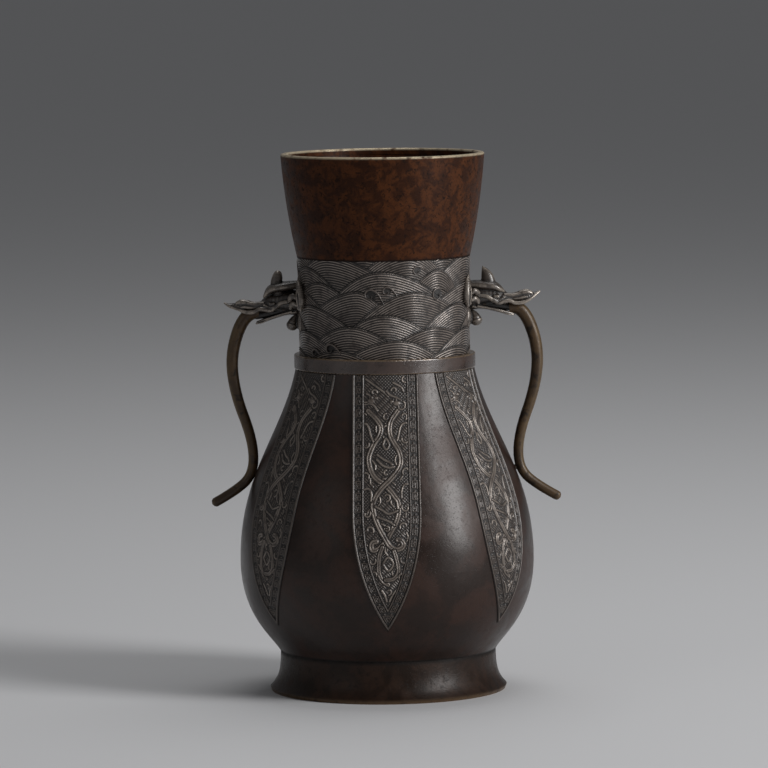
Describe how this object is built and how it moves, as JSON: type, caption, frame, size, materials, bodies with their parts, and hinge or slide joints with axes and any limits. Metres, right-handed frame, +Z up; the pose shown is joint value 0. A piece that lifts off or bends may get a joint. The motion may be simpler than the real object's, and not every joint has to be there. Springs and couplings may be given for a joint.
{
  "type": "bronze hu vase",
  "caption": "Pear-shaped bronze hu vase with a flared mouth and foot, pendant leaf panels, a wave-band neck and dragon-mouth strap handles.",
  "frame": {"origin": "centre of the foot's resting face", "axes": "+Z up along the vase's axis; the handles lie along +X and -X; the middle front leaf panel faces -Y"},
  "size_m": [0.2021, 0.1708, 0.31],
  "materials": {
    "mouth_bronze": "mottled red-brown patina, satin, worn bright at the lip",
    "wave_bronze": "grey-brown patina, worn along the wave lines",
    "body_bronze": "dark chocolate patina, satin",
    "leaf_bronze": "dark patina, worn on the raised lines",
    "dragon_bronze": "black-brown patina, glossy and worn on the high points",
    "strap_bronze": "olive-brown patina, rubbed smooth",
    "foot_bronze": "brown patina, worn at the edge",
    "inner_bronze": "dull unfinished bronze"
  },
  "bodies": {
    "root": {"foot_ring": "foot_bronze", "base_plate": "inner_bronze", "body_shell": "body_bronze", "neck_ring": "body_bronze", "neck_sleeve": "wave_bronze", "mouth_cup": "mouth_bronze", "leaf_panel_front_left": "leaf_bronze", "leaf_panel_front_middle": "leaf_bronze", "leaf_panel_front_right": "leaf_bronze", "leaf_panel_back_left": "leaf_bronze", "leaf_panel_back_middle": "leaf_bronze", "leaf_panel_back_right": "leaf_bronze", "dragon_head_right": "dragon_bronze", "dragon_head_left": "dragon_bronze", "handle_strap_right": "strap_bronze", "handle_strap_left": "strap_bronze", "beard_stud_right": "dragon_bronze", "beard_stud_left": "dragon_bronze", "head_washers": "inner_bronze", "jaw_pins": "inner_bronze", "strap_pins": "inner_bronze"}
  },
  "joints": []
}
